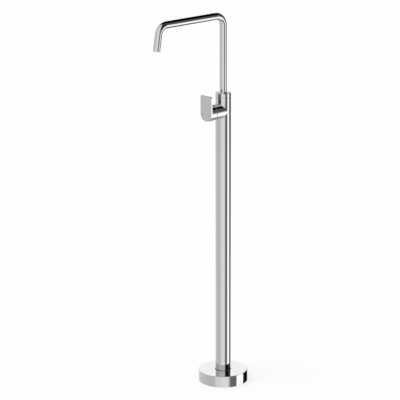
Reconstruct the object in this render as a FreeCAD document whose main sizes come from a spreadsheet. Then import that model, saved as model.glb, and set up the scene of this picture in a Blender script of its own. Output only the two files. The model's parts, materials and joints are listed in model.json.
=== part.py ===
import FreeCAD, Part
import os
import re
import Sketcher

# Floor standing bath filler: a round floor base, one tall column, a single lever valve whose round
# hub points at the bath, and a swivelling tube spout above it.
# Millimetres. Origin: centre of the column, on the floor. +Z up. Valve and spout point to -Y.

SIZES = {
    # column and the collar that closes its top
    "column_diameter": 44.0,
    "column_wall": 1.5,
    "column_height": 866.3,
    "collar_height": 12.4,
    "collar_plate": 4.0,
    "collar_wall": 3.9,
    "seam_chamfer": 0.25,
    "edge_round": 0.6,
    # floor base
    "cover_diameter": 142.8,
    "cover_height": 33.4,
    "cover_wall": 2.0,
    "plate_gap": 4.4,
    "plate_thickness": 8.0,
    "anchor_inset": 13.0,
    "anchor_hole": 9.0,
    "anchor_count": 4,
    "cover_clearance": 0.3,
    "cover_lip": 4.0,
    "cover_lip_wall": 2.0,
    "ring_cord": 1.6,
    "ring_sink": 0.8,
    "spigot_height": 78.0,
    "spigot_wall": 2.4,
    "spigot_clearance": 0.1,
    "clamp_screw_count": 3,
    "clamp_screw_height": 14.0,
    "clamp_screw_diameter": 5.0,
    "clamp_screw_length": 5.0,
    "screw_clearance": 0.1,
    # water inlets in the floor and the two hoses inside the column
    "block_height": 30.0,
    "block_flange": 3.0,
    "block_flange_width": 3.0,
    "block_clearance": 0.1,
    "inlet_spacing": 18.0,
    "inlet_thread": 15.0,
    "inlet_depth": 12.0,
    "waterway": 6.4,
    "nut_thread": 9.5,
    "nut_thread_length": 7.0,
    "nut_thread_clearance": 0.05,
    "thread_relief": 0.3,
    "nut_flats": 14.0,
    "nut_height": 7.0,
    "hose_diameter": 11.0,
    "hose_bore": 8.0,
    "hose_tail": 12.0,
    "ferrule_length": 14.0,
    "ferrule_wall": 1.1,
    "fit_gap": 0.05,
    # valve body and the chrome sleeve around it
    "cartridge_diameter": 34.8,
    "cartridge_clearance": 0.2,
    "body_wall": 2.4,
    "sleeve_clearance": 0.3,
    "sleeve_wall": 1.7,
    "port_face": 17.5,
    "outlet_bore": 13.0,
    "outlet_depth": 7.5,
    "chamber_floor": 9.0,
    "floor_wall": 0.5,
    # cartridge, stacked outwards from the chamber floor
    "seal_stand": 0.4,
    "seal_depth": 1.0,
    "seal_ring_wall": 1.4,
    "base_thickness": 3.0,
    "disc_thickness": 3.0,
    "disc_film": 0.05,
    "driver_thickness": 3.25,
    "driver_gap": 0.3,
    "carrier_lug": 3.0,
    "fixed_disc_diameter": 29.6,
    "moving_disc_diameter": 23.2,
    "driver_width": 20.0,
    "mixing_pocket": 7.0,
    "pocket_depth": 1.5,
    "housing_bore": 30.5,
    "running_gap": 0.05,
    "pivot_rise": 6.8,
    "shoulder_rise": 1.9,
    "cover_plate": 2.5,
    "carrier_neck": 21.0,
    "neck_rise": 6.2,
    "nut_bore": 24.0,
    "front_rise": 10.2,
    "port_diameter": 6.4,
    "inlet_port_side": 8.0,
    "inlet_port_drop": 4.0,
    "outlet_port_rise": 7.5,
    # lever stem
    "stem_width": 7.6,
    "stem_tail": 4.8,
    "ball_reach": 7.9,
    "ball_diameter": 3.6,
    "ball_neck": 2.8,
    "ball_clearance": 0.3,
    "driver_floor": 0.4,
    "pin_diameter": 3.0,
    "pin_length": 24.0,
    "slot_up": 6.5,
    "slot_down": 7.0,
    "slot_side": 0.15,
    # domed ring behind the handle
    "seam_rise": 14.0,
    "seam_gap": 1.1,
    "dome_thickness": 2.1,
    "dome_opening": 29.0,
    "dome_clearance": 0.1,
    "dome_foot_bore": 35.6,
    # handle
    "hub_depth": 25.7,
    "blade_height": 51.4,
    "blade_thickness": 4.6,
    "blade_corner": 3.5,
    "blade_top_round": 2.2,
    "blade_fillet": 3.0,
    "handle_edge": 0.5,
    "handle_front": 5.0,
    "handle_screw_diameter": 5.0,
    "handle_screw_length": 10.0,
    "handle_screw_back": 9.0,
    "screw_plug_length": 5.0,
    "screw_plug_inset": 0.4,
    "mark_side": 16.0,
    "mark_drop": 3.5,
    "mark_diameter": 4.2,
    "mark_depth": 0.8,
    # swivel joint of the spout
    "nipple_diameter": 12.8,
    "nipple_bore": 10.0,
    "nipple_hex": 14.5,
    "socket_floor": 4.0,
    "socket_stand": 4.5,
    "bush_seat": 6.1,
    "socket_bore": 24.0,
    "spigot_lift": 0.6,
    "spigot_length": 15.4,
    "spigot_bore": 14.0,
    "spigot_neck": 7.0,
    "bush_gap": 0.1,
    "ring_groove": 2.4,
    "ring_groove_depth": 2.05,
    "ring_section": 2.0,
    "first_ring": 7.9,
    "ring_pitch": 4.3,
    "stop_height": 3.0,
    "stop_groove": 3.4,
    "stop_groove_depth": 2.4,
    "stop_screw_diameter": 3.0,
    "stop_screw_inset": 0.4,
    "stop_tip_gap": 0.4,
    "swivel_limit": 60.0,
    "stop_margin": 9.5,
    # spout tube
    "spout_diameter": 20.0,
    "spout_wall": 1.5,
    "spout_height": 1088.65,
    "spout_reach": 244.1,
    "bend_radius": 29.3,
    "leg_length": 70.9,
    "leg_tilt": 9.5,
    "mouth_round": 0.35,
    # outlet
    "aerator_inset": 0.5,
    "aerator_length": 9.5,
    "aerator_wall": 1.4,
    "aerator_lip": 0.9,
    "aerator_lip_length": 1.2,
    "insert_length": 6.0,
    "insert_hole": 1.6,
    "insert_ring": 2.6,
    "aerator_seal_length": 1.2,
}

DOC = FreeCAD.newDocument("BathFiller")
SHEET = DOC.addObject("Spreadsheet::Sheet", "Sizes")
NODES = []

# Radii and stations that several pieces share, as formulas of the sizes above.
COLUMN_R = "column_diameter / 2"
COLUMN_BORE = f"({COLUMN_R} - column_wall)"
COLUMN_TOP = "(column_height - collar_height)"
SPIGOT_R = f"({COLUMN_BORE} - spigot_clearance)"
SPIGOT_BORE = f"({SPIGOT_R} - spigot_wall)"
BLOCK_R = f"({SPIGOT_BORE} - block_clearance)"
FLANGE_R = f"({SPIGOT_BORE} + block_flange_width)"
PLATE_R = "(cover_diameter / 2 - cover_wall - plate_gap)"
ANCHOR_R = f"({PLATE_R} - anchor_inset)"

CHAMBER_R = "(cartridge_diameter / 2 + cartridge_clearance)"
BODY_R = f"({CHAMBER_R} + body_wall)"
SLEEVE_BORE = f"({BODY_R} + sleeve_clearance)"
HUB_R = f"({SLEEVE_BORE} + sleeve_wall)"

HOUSING_BASE = "(chamber_floor + seal_stand)"
FIXED_DISC = f"({HOUSING_BASE} + base_thickness)"
MOVING_DISC = f"({FIXED_DISC} + disc_thickness + disc_film)"
DRIVER = f"({MOVING_DISC} + disc_thickness)"
CARRIER_WEB = f"({DRIVER} + driver_thickness + driver_gap)"
PIVOT = f"({CARRIER_WEB} + pivot_rise)"
SHOULDER = f"({PIVOT} + shoulder_rise)"
COVER_BASE = f"({SHOULDER} + driver_gap)"
NUT_BASE = f"({COVER_BASE} + cover_plate)"
BODY_FRONT = f"({PIVOT} + front_rise)"
SEAM = f"({PIVOT} + seam_rise)"
FACE = f"({SEAM} + hub_depth)"
BLADE_BACK = f"({FACE} - blade_thickness)"
DOME_R = f"sqrt({HUB_R}^2 + seam_rise^2)"
CUP_R = f"({DOME_R} + seam_gap)"
SCREW_STATION = f"({FACE} - handle_screw_back)"

SOCKET_BORE = "(socket_bore / 2)"
SOCKET_NECK = f"({COLUMN_R} - collar_wall)"
TURN_R = f"({SOCKET_BORE} - running_gap)"

# Stations that stack downwards from the column's top: the swivel joint, then the valve below it.
SOCKET_TOP = "(column_height - collar_plate)"
TUBE_BASE = f"({SOCKET_TOP} - bush_seat)"
TURN_BASE = f"({TUBE_BASE} - spigot_length)"
STOP_STATION = f"({TURN_BASE} + stop_height)"
SOCKET_FLOOR = f"({TURN_BASE} - spigot_lift)"
SOCKET_BASE = f"({SOCKET_FLOOR} - socket_floor)"
PORT_TOP = f"({SOCKET_BASE} - socket_stand)"
HUB_HEIGHT = f"({PORT_TOP} - port_face)"
PORT_BOTTOM = f"({HUB_HEIGHT} - port_face)"

TUBE_R = "(spout_diameter / 2)"
TUBE_BORE = f"({TUBE_R} - spout_wall)"
CORNER_CUT = "bend_radius * tan((90 - leg_tilt) / 2)"
OUTLET_END = ("-spout_reach - leg_length * sin(leg_tilt)", "spout_height - leg_length * cos(leg_tilt)")

X_AXIS = FreeCAD.Vector(1, 0, 0)
Y_AXIS = FreeCAD.Vector(0, 1, 0)
Z_AXIS = FreeCAD.Vector(0, 0, 1)
OUT_AXIS = FreeCAD.Vector(0, -1, 0)


def fill_sheet():
    for row, (word, number) in enumerate(SIZES.items(), start=1):
        SHEET.set(f"A{row}", word)
        SHEET.set(f"B{row}", str(number))
        SHEET.setAlias(f"B{row}", word)
    DOC.recompute()


def bound(formula):
    """The formula with every size written as a cell of the sheet."""

    def cell(match):
        word = match.group()
        return f"Sizes.{word}" if word in SIZES else word

    return re.sub(r"[a-z]\w*", cell, formula)


def value(formula):
    return float(SHEET.evalExpression(bound(formula)))


def place(item, base=("0", "0", "0"), rotation=None):
    item.Placement = FreeCAD.Placement(FreeCAD.Vector(0, 0, 0), rotation or FreeCAD.Rotation())
    for letter, formula in zip("xyz", base):
        item.setExpression(f"Placement.Base.{letter}", bound(formula))
    return item


def on_hub(item):
    """Hub pieces are drawn with X across, Y up and Z outwards from the column axis."""
    return place(item, ("0", "0", HUB_HEIGHT), FreeCAD.Rotation(X_AXIS, 90))


def on_outlet(item):
    """Outlet pieces are drawn with Z along the flow, from the spout's end face."""
    place(item, ("0", *OUTLET_END), FreeCAD.Rotation(X_AXIS, 90))
    item.setExpression("Placement.Rotation.Angle", bound("180 - leg_tilt"))
    return item


def node(item, label):
    item.Label = label
    NODES.append(item)
    return item


# ---- sketches and turned pieces ----


def origin_plane(body, role):
    return next(plane for plane in body.Origin.OriginFeatures if plane.Role == role)


def new_sketch(body, name, role, lift="0"):
    sketch = body.newObject("Sketcher::SketchObject", name)
    sketch.AttachmentSupport = [(origin_plane(body, role), "")]
    sketch.MapMode = "FlatFace"
    sketch.setExpression("AttachmentOffset.Base.z", bound(lift))
    return sketch


def arc_between(start, end, radius, turn):
    """The short arc from start to end; turn is +1 anticlockwise and -1 clockwise."""
    chord = end - start
    middle = (start + end) * 0.5
    left = FreeCAD.Vector(-chord.y, chord.x, 0).normalize()
    centre = middle + left * (turn * (max(radius**2 - (chord.Length / 2) ** 2, 0) ** 0.5))
    circle = Part.Circle(centre, Z_AXIS, radius)
    ends = (start, end) if turn > 0 else (end, start)
    return Part.ArcOfCircle(circle, circle.parameter(ends[0]), circle.parameter(ends[1]))


def draw(sketch, points, closed=True):
    """A chain of lines and arcs. A point is (x, y) or, before an arc, (x, y, radius, turn)."""
    corners = [FreeCAD.Vector(value(point[0]), value(point[1]), 0) for point in points]
    count = len(points) if closed else len(points) - 1
    ends = []
    for index in range(count):
        point = points[index]
        start = corners[index]
        end = corners[(index + 1) % len(points)]
        if len(point) == 4:
            edge = sketch.addGeometry(arc_between(start, end, value(point[2]), point[3]))
            ends.append((edge, 1, 2) if point[3] > 0 else (edge, 2, 1))
            radius = sketch.addConstraint(Sketcher.Constraint("Radius", edge, value(point[2])))
            sketch.setExpression(f"Constraints[{radius}]", bound(point[2]))
        else:
            edge = sketch.addGeometry(Part.LineSegment(start, end))
            ends.append((edge, 1, 2))
    for index, (edge, first, last) in enumerate(ends):
        pin_point(sketch, edge, first, points[index])
        if closed or index + 1 < count:
            after = ends[(index + 1) % count]
            sketch.addConstraint(Sketcher.Constraint("Coincident", edge, last, after[0], after[1]))
        else:
            pin_point(sketch, edge, last, points[index + 1])
    return sketch


def pin_point(sketch, edge, end, point):
    for kind, formula in zip(("DistanceX", "DistanceY"), point):
        number = sketch.addConstraint(Sketcher.Constraint(kind, -1, 1, edge, end, value(formula)))
        sketch.setExpression(f"Constraints[{number}]", bound(formula))


def draw_circle(sketch, x, y, radius):
    edge = sketch.addGeometry(Part.Circle(FreeCAD.Vector(value(x), value(y), 0), Z_AXIS, value(radius)))
    size = sketch.addConstraint(Sketcher.Constraint("Radius", edge, value(radius)))
    sketch.setExpression(f"Constraints[{size}]", bound(radius))
    pin_point(sketch, edge, 3, (x, y))


def turned(name, points):
    """A body turned about its own Z axis from a half profile of (radius, height) points."""
    body = DOC.addObject("PartDesign::Body", name)
    sketch = draw(new_sketch(body, name + "_profile", "XZ_Plane"), points)
    turning = body.newObject("PartDesign::Revolution", name + "_turning")
    turning.Profile = sketch
    turning.ReferenceAxis = (sketch, ["V_Axis"])
    turning.Angle = 360
    return body


def ring(name, inner, outer, low, high):
    return turned(name, [(inner, low), (outer, low), (outer, high), (inner, high)])


def disc(name, outer, low, high):
    return ring(name, "0", outer, low, high)


def padded(name, outline, low, length):
    """A body with one outline in its XY plane, raised by low and padded by length."""
    body = DOC.addObject("PartDesign::Body", name)
    sketch = draw(new_sketch(body, name + "_outline", "XY_Plane", low), outline)
    pad = body.newObject("PartDesign::Pad", name + "_pad")
    pad.Profile = sketch
    pad.setExpression("Length", bound(length))
    return body


# ---- primitives and booleans ----


def rod(name, radius, length, base, axis=Z_AXIS):
    item = DOC.addObject("Part::Cylinder", name)
    item.setExpression("Radius", bound(radius))
    item.setExpression("Height", bound(length))
    return place(item, base, FreeCAD.Rotation(Z_AXIS, axis))


def block(name, size, base):
    item = DOC.addObject("Part::Box", name)
    for side, formula in zip(("Length", "Width", "Height"), size):
        item.setExpression(side, bound(formula))
    return place(item, base)


def hexagon(name, flats, height, base, axis=Z_AXIS):
    item = DOC.addObject("Part::Prism", name)
    item.Polygon = 6
    item.setExpression("Circumradius", bound(f"({flats}) / 2 / cos(30)"))
    item.setExpression("Height", bound(height))
    return place(item, base, FreeCAD.Rotation(Z_AXIS, axis) * FreeCAD.Rotation(Z_AXIS, 30))


def ball(name, radius, base):
    item = DOC.addObject("Part::Sphere", name)
    item.setExpression("Radius", bound(radius))
    return place(item, base)


def torus(name, ring_radius, section_radius, base):
    item = DOC.addObject("Part::Torus", name)
    item.setExpression("Radius1", bound(ring_radius))
    item.setExpression("Radius2", bound(section_radius))
    return place(item, base)


def joined(name, items):
    item = DOC.addObject("Part::MultiFuse", name)
    item.Shapes = items
    return item


def shared(name, items):
    item = DOC.addObject("Part::MultiCommon", name)
    item.Shapes = items
    return item


def group(name, items):
    """Identical pieces that share a node, each still its own solid."""
    item = DOC.addObject("Part::Compound", name)
    item.Links = items
    return item


def cut(name, base, tools):
    item = DOC.addObject("Part::Cut", name)
    item.Base = base
    item.Tool = tools[0] if len(tools) == 1 else joined(name + "_tools", tools)
    return item


def around(count, start=0):
    """Evenly spaced directions about the column, in degrees."""
    return [start + 360 * index / count for index in range(count)]


# ---- floor base ----


def make_floor_plate():
    blank = turned(
        "floor_plate_blank",
        [
            (f"{FLANGE_R} + cover_clearance", "0"),
            (PLATE_R, "0"),
            (PLATE_R, "plate_thickness"),
            (SPIGOT_BORE, "plate_thickness"),
            (SPIGOT_BORE, "block_flange + cover_clearance"),
            (f"{FLANGE_R} + cover_clearance", "block_flange + cover_clearance"),
        ],
    )
    holes = []
    for angle in around(SIZES["anchor_count"], 45):
        place_at = (f"{ANCHOR_R} * cos({angle})", f"{ANCHOR_R} * sin({angle})", "-1")
        holes.append(rod(f"anchor_hole_{angle:.0f}", "anchor_hole / 2", "plate_thickness + 2", place_at))
    node(cut("floor_plate_cut", blank, holes), "floor_plate")


def clamp_places(inner):
    """Number, base and direction of each radial clamp screw, from an inner radius outwards."""
    places = []
    for number, angle in enumerate(around(SIZES["clamp_screw_count"], 90), start=1):
        height = "plate_thickness + clamp_screw_height"
        base = (f"({inner}) * cos({angle})", f"({inner}) * sin({angle})", height)
        places.append((number, base, FreeCAD.Rotation(Z_AXIS, angle).multVec(X_AXIS)))
    return places


def clamp_rods(name, radius, inner, length):
    places = clamp_places(inner)
    return [rod(f"{name}_{number}", radius, length, base, axis) for number, base, axis in places]


def make_column_spigot():
    top = "plate_thickness + spigot_height"
    tube = ring("column_spigot_tube", SPIGOT_BORE, SPIGOT_R, "plate_thickness", top)
    holes = clamp_rods("spigot_hole", "clamp_screw_diameter / 2", f"{SPIGOT_BORE} - 1", "spigot_wall + 2")
    node(cut("column_spigot_cut", tube, holes), "column_spigot")


def make_clamp_screws():
    """Grub screws with a hexagon socket in their outer ends."""
    start = f"{SPIGOT_BORE} + block_clearance"
    middle = f"{start} + clamp_screw_length / 2"
    flats = "clamp_screw_diameter / 2"
    screws = clamp_rods("screw", "clamp_screw_diameter / 2", start, "clamp_screw_length")
    drilled = []
    for screw, (number, base, axis) in zip(screws, clamp_places(middle)):
        socket = hexagon(f"screw_socket_{number}", flats, "clamp_screw_length", base, axis)
        drilled.append(cut(screw.Name + "_drilled", screw, [socket]))
    node(group("clamp_screw_set", drilled), "clamp_screws")


def make_base_cover():
    outer = "cover_diameter / 2"
    hole = f"{COLUMN_R} + cover_clearance"
    seat = f"{COLUMN_R} + ring_cord"
    inside = "cover_height - cover_wall"
    node(
        turned(
            "base_cover_shell",
            [
                (f"{outer} - cover_wall", "0"),
                (outer, "0"),
                (outer, "cover_height - edge_round", "edge_round", 1),
                (f"{outer} - edge_round", "cover_height"),
                (seat, "cover_height"),
                (seat, "cover_height - ring_sink"),
                (hole, "cover_height - ring_sink"),
                (hole, f"{inside} - cover_lip"),
                (f"{hole} + cover_lip_wall", f"{inside} - cover_lip"),
                (f"{hole} + cover_lip_wall", inside),
                (f"{outer} - cover_wall", inside),
            ],
        ),
        "base_cover",
    )


def make_base_cover_seal():
    centre = f"{COLUMN_R} + ring_cord / 2"
    height = "cover_height - ring_sink + ring_cord / 2"
    node(torus("base_cover_ring", centre, "ring_cord / 2", ("0", "0", height)), "base_cover_seal")


# ---- water supply ----


def inlet_sides():
    return (("hot", "-inlet_spacing / 2"), ("cold", "inlet_spacing / 2"))


def make_inlet_block():
    blank = turned(
        "inlet_block_blank",
        [
            ("0", "0"),
            (FLANGE_R, "0"),
            (FLANGE_R, "block_flange"),
            (BLOCK_R, "block_flange"),
            (BLOCK_R, "block_height"),
            ("0", "block_height"),
        ],
    )
    ways = []
    socket_radius = "nut_thread / 2 + nut_thread_clearance"
    for name, side in inlet_sides():
        ways.append(rod(f"{name}_inlet_thread", "inlet_thread / 2", "inlet_depth + 1", (side, "0", "-1")))
        ways.append(rod(f"{name}_inlet_way", "waterway / 2", "block_height", (side, "0", "inlet_depth / 2")))
        socket = (side, "0", "block_height - nut_thread_length - thread_relief")
        ways.append(rod(f"{name}_inlet_socket", socket_radius, "block_height", socket))
    node(cut("inlet_block_bored", blank, ways), "inlet_block")


def hose_nut(name, side, seat, up):
    """One hose end: thread into the port, hexagon against its face, tail inside the hose."""
    thread = f"{seat} - nut_thread_length" if up else seat
    hexagon_base = seat if up else f"{seat} - nut_height"
    tail = f"{seat} + nut_height" if up else f"{seat} - nut_height - hose_tail"
    lowest = thread if up else tail
    solid = joined(
        f"{name}_solid",
        [
            rod(f"{name}_thread", "nut_thread / 2", "nut_thread_length", (side, "0", thread)),
            hexagon(f"{name}_hexagon", "nut_flats", "nut_height", (side, "0", hexagon_base)),
            rod(f"{name}_tail", "hose_bore / 2 - fit_gap", "hose_tail", (side, "0", tail)),
        ],
    )
    length = "nut_thread_length + nut_height + hose_tail"
    bore = rod(f"{name}_bore", "waterway / 2", f"{length} + 2", (side, "0", f"{lowest} - 1"))
    return cut(name, solid, [bore])


def make_hoses():
    nuts = []
    ferrules = []
    low = "block_height + nut_height"
    high = f"{PORT_BOTTOM} - nut_height"
    for name, side in inlet_sides():
        hose = ring(f"{name}_hose_tube", "hose_bore / 2", "hose_diameter / 2", low, high)
        node(place(hose, (side, "0", "0")), f"{name}_hose")
        nuts.append(hose_nut(f"{name}_lower_nut", side, "block_height", True))
        nuts.append(hose_nut(f"{name}_upper_nut", side, PORT_BOTTOM, False))
        for end, start in (("lower", low), ("upper", f"{high} - ferrule_length")):
            inner = "hose_diameter / 2 + fit_gap"
            outer = f"{inner} + ferrule_wall"
            ferrule = ring(f"{name}_{end}_ferrule", inner, outer, start, f"{start} + ferrule_length")
            ferrules.append(place(ferrule, (side, "0", "0")))
    node(group("hose_nut_set", nuts), "hose_nuts")
    node(group("hose_ferrule_set", ferrules), "hose_ferrules")


# ---- column and its sleeve ----


def make_column_tube():
    tube = turned(
        "column_blank",
        [
            (COLUMN_BORE, "plate_thickness"),
            (COLUMN_R, "plate_thickness"),
            (COLUMN_R, f"{COLUMN_TOP} - seam_chamfer"),
            (f"{COLUMN_R} - seam_chamfer", COLUMN_TOP),
            (COLUMN_BORE, COLUMN_TOP),
        ],
    )
    window_radius = f"{SLEEVE_BORE} - fit_gap"
    window = rod("column_window", window_radius, COLUMN_R, ("0", "0", HUB_HEIGHT), OUT_AXIS)
    screw_radius = "clamp_screw_diameter / 2 + screw_clearance"
    screws = clamp_rods("column_screw_hole", screw_radius, f"{COLUMN_BORE} - 1", "column_wall + 2")
    stop = rod(
        "column_stop_hole",
        "stop_screw_diameter / 2 + fit_gap",
        "column_wall + 2",
        ("0", f"{COLUMN_BORE} - 1", STOP_STATION),
        Y_AXIS,
    )
    node(cut("column_cut", tube, [window, stop] + screws), "column_tube")


def make_valve_sleeve():
    """Chrome tube round the valve, mitred to the column and domed at its front edge."""
    blank = turned(
        "sleeve_blank",
        [
            (SLEEVE_BORE, "0"),
            (HUB_R, "0"),
            (HUB_R, SEAM, DOME_R, 1),
            (SLEEVE_BORE, f"{PIVOT} + sqrt({DOME_R}^2 - {SLEEVE_BORE}^2)"),
        ],
    )
    column = rod("sleeve_mitre", COLUMN_R, "4 * column_diameter", ("0", "-2 * column_diameter", "0"), Y_AXIS)
    node(on_hub(cut("sleeve_mitred", blank, [column])), "valve_sleeve")


def make_swivel_collar():
    """Collar that screws over the swivel socket and closes the column round the spout."""
    node(
        turned(
            "collar_turned",
            [
                (f"{SOCKET_NECK} + fit_gap", COLUMN_TOP),
                (f"{COLUMN_R} - seam_chamfer", COLUMN_TOP),
                (COLUMN_R, f"{COLUMN_TOP} + seam_chamfer"),
                (COLUMN_R, "column_height - edge_round", "edge_round", 1),
                (f"{COLUMN_R} - edge_round", "column_height"),
                (f"{TUBE_R} + running_gap", "column_height"),
                (f"{TUBE_R} + running_gap", SOCKET_TOP),
                (f"{SOCKET_NECK} + fit_gap", SOCKET_TOP),
            ],
        ),
        "swivel_collar",
    )


# ---- mixer body ----


def port_places():
    """Across and up from the hub axis, the three waterways that meet the cartridge."""
    return (
        ("hot", "-inlet_port_side", "-inlet_port_drop"),
        ("cold", "inlet_port_side", "-inlet_port_drop"),
        ("mixed", "0", "outlet_port_rise"),
    )


def make_mixer_body():
    """Brass valve body: a round block along the hub axis whose back is rounded to fit the column."""
    back = f"{COLUMN_BORE} - sleeve_clearance"
    along = rod("body_round", BODY_R, f"{BODY_FRONT} + {BODY_R}", ("0", BODY_R, HUB_HEIGHT), OUT_AXIS)
    fitted = rod("body_back", back, "4 * hub_depth", ("0", "0", f"{HUB_HEIGHT} - 2 * hub_depth"))
    front = block(
        "body_front_zone",
        (f"4 * {BODY_R}", BODY_FRONT, f"4 * {BODY_R}"),
        (f"-2 * {BODY_R}", f"-{BODY_FRONT}", f"{HUB_HEIGHT} - 2 * {BODY_R}"),
    )
    blank = shared("body_blank", [along, joined("body_envelope", [fitted, front])])
    depth = f"{BODY_R} + chamber_floor - floor_wall"
    flats = []
    for name, low in (("top", PORT_TOP), ("bottom", f"{PORT_BOTTOM} - {BODY_R}")):
        corner = (f"-{BODY_R}", "floor_wall - chamber_floor", low)
        flats.append(block(f"body_flat_{name}", (f"2 * {BODY_R}", depth, BODY_R), corner))
    outlet_base = f"{HUB_HEIGHT} + outlet_port_rise - port_diameter / 2"
    ways = [
        rod("chamber", CHAMBER_R, BODY_FRONT, ("0", "-chamber_floor", HUB_HEIGHT), OUT_AXIS),
        rod("outlet_socket", "outlet_bore / 2", BODY_R, ("0", "0", f"{PORT_TOP} - outlet_depth")),
        rod("outlet_way", "nipple_bore / 2", BODY_R, ("0", "0", outlet_base)),
    ]
    socket = "nut_thread / 2 + nut_thread_clearance"
    socket_depth = "nut_thread_length + thread_relief + 1"
    rise = "port_face - inlet_port_drop + waterway / 4"
    for name, side in inlet_sides():
        ways.append(rod(f"{name}_body_socket", socket, socket_depth, (side, "0", f"{PORT_BOTTOM} - 1")))
        ways.append(rod(f"{name}_body_way", "waterway / 2", rise, (side, "0", PORT_BOTTOM)))
    for name, side, up in port_places():
        start = (side, "0", f"{HUB_HEIGHT} + {up}")
        ways.append(rod(f"{name}_body_port", "port_diameter / 2", "chamber_floor + 1", start, OUT_AXIS))
    node(cut("body_bored", blank, flats + ways), "mixer_body")


# ---- cartridge ----


def port_rods(name, radius, low, length):
    return [rod(f"{name}_{port}", radius, length, (x, y, low)) for port, x, y in port_places()]


def make_cartridge_housing():
    outer = "cartridge_diameter / 2"
    blank = turned(
        "housing_blank",
        [
            ("0", HOUSING_BASE),
            (outer, HOUSING_BASE),
            (outer, COVER_BASE),
            ("housing_bore / 2", COVER_BASE),
            ("housing_bore / 2", FIXED_DISC),
            ("0", FIXED_DISC),
        ],
    )
    ports = port_rods("housing_port", "port_diameter / 2", f"{HOUSING_BASE} - 1", "base_thickness + 2")
    seat = "port_diameter / 2 + seal_ring_wall"
    seats = port_rods("housing_seat", f"{seat} + fit_gap", f"{HOUSING_BASE} - 1", "seal_depth + 1")
    node(on_hub(cut("housing_ported", blank, ports + seats)), "cartridge_housing")


def make_cartridge_seals():
    rings = []
    outer = "port_diameter / 2 + seal_ring_wall"
    top = f"{HOUSING_BASE} + seal_depth"
    for port, x, y in port_places():
        seal = ring(f"{port}_seal", "port_diameter / 2", outer, "chamber_floor", top)
        rings.append(place(seal, (x, y, "0")))
    node(on_hub(group("cartridge_seal_set", rings)), "cartridge_seals")


def make_discs():
    fixed = disc("fixed_disc_blank", "fixed_disc_diameter / 2", FIXED_DISC, f"{FIXED_DISC} + disc_thickness")
    ports = port_rods("fixed_port", "port_diameter / 2", f"{FIXED_DISC} - 1", "disc_thickness + 2")
    node(on_hub(cut("fixed_disc_ported", fixed, ports)), "fixed_disc")
    radius = "moving_disc_diameter / 2"
    moving = disc("moving_disc_blank", radius, MOVING_DISC, DRIVER)
    pocket = rod("mixing_pocket", "mixing_pocket", "pocket_depth + 1", ("0", "0", f"{MOVING_DISC} - 1"))
    node(on_hub(cut("moving_disc_pocketed", moving, [pocket])), "moving_disc")
    rail = block(
        "driver_zone",
        ("driver_width", "2 * moving_disc_diameter", "driver_thickness"),
        ("-driver_width / 2", "-moving_disc_diameter", DRIVER),
    )
    plug = rod("driver_round", radius, "driver_thickness", ("0", "0", DRIVER))
    socket_floor = ("0", "0", f"{DRIVER} + driver_floor")
    socket = rod("driver_socket", "ball_diameter / 2 + ball_clearance", "driver_thickness", socket_floor)
    node(on_hub(cut("driver_socketed", shared("driver_blank", [rail, plug]), [socket])), "disc_driver")


def make_cartridge_carrier():
    """The turning part of the cartridge: lugs that guide the disc driver, and a slot for the lever."""
    outer = "housing_bore / 2 - running_gap"
    lug_base = f"{CARRIER_WEB} - carrier_lug"
    blank = turned(
        "carrier_blank",
        [
            ("0", lug_base),
            (outer, lug_base),
            (outer, SHOULDER),
            ("carrier_neck / 2", SHOULDER),
            ("carrier_neck / 2", f"{PIVOT} + neck_rise"),
            ("0", f"{PIVOT} + neck_rise"),
        ],
    )
    guide = block(
        "carrier_guide",
        ("driver_width + 2 * fit_gap", "2 * housing_bore", "carrier_lug + 1"),
        ("-driver_width / 2 - fit_gap", "-housing_bore", f"{lug_base} - 1"),
    )
    slot = block(
        "carrier_slot",
        ("stem_width + 2 * slot_side", "slot_up + slot_down", "2 * cartridge_diameter"),
        ("-stem_width / 2 - slot_side", "-slot_down", lug_base),
    )
    side = ("-housing_bore / 2", "0", PIVOT)
    pin = rod("carrier_pin_hole", "pin_diameter / 2", "housing_bore", side, X_AXIS)
    node(on_hub(cut("carrier_slotted", blank, [guide, slot, pin])), "cartridge_carrier")


def make_stem_pin():
    pin = rod("pin_round", "pin_diameter / 2", "pin_length", ("-pin_length / 2", "0", PIVOT), X_AXIS)
    node(on_hub(group("pin_set", [pin])), "stem_pin")


def make_cartridge_cover():
    hole = "carrier_neck / 2 + running_gap"
    cover = ring("cover_ring", hole, "cartridge_diameter / 2", COVER_BASE, NUT_BASE)
    node(on_hub(cover), "cartridge_cover")


def make_cartridge_nut():
    outer = f"{CHAMBER_R} - running_gap"
    blank = ring("nut_ring", "nut_bore / 2", outer, NUT_BASE, BODY_FRONT)
    slots = [
        block(
            f"nut_slot_{name}",
            size,
            (f"-({size[0]}) / 2", f"-({size[1]}) / 2", f"{BODY_FRONT} - pocket_depth"),
        )
        for name, size in (
            ("across", ("cartridge_diameter * 2", "pin_diameter", "pocket_depth + 1")),
            ("upright", ("pin_diameter", "cartridge_diameter * 2", "pocket_depth + 1")),
        )
    ]
    node(on_hub(cut("nut_slotted", blank, slots)), "cartridge_nut")


def make_dome_ring():
    foot = f"{SLEEVE_BORE} - dome_clearance"
    inner = f"({DOME_R} - dome_thickness)"
    opening = "dome_opening / 2"
    throat = "dome_foot_bore / 2"
    node(
        on_hub(
            turned(
                "dome_turned",
                [
                    (throat, BODY_FRONT),
                    (foot, BODY_FRONT),
                    (foot, f"{PIVOT} + sqrt({DOME_R}^2 - ({foot})^2)", DOME_R, 1),
                    (opening, f"{PIVOT} + sqrt({DOME_R}^2 - ({opening})^2)"),
                    (opening, f"{PIVOT} + sqrt({inner}^2 - ({opening})^2)", inner, -1),
                    (throat, f"{PIVOT} + sqrt({inner}^2 - ({throat})^2)"),
                ],
            )
        ),
        "dome_ring",
    )


# ---- handle ----


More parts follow.
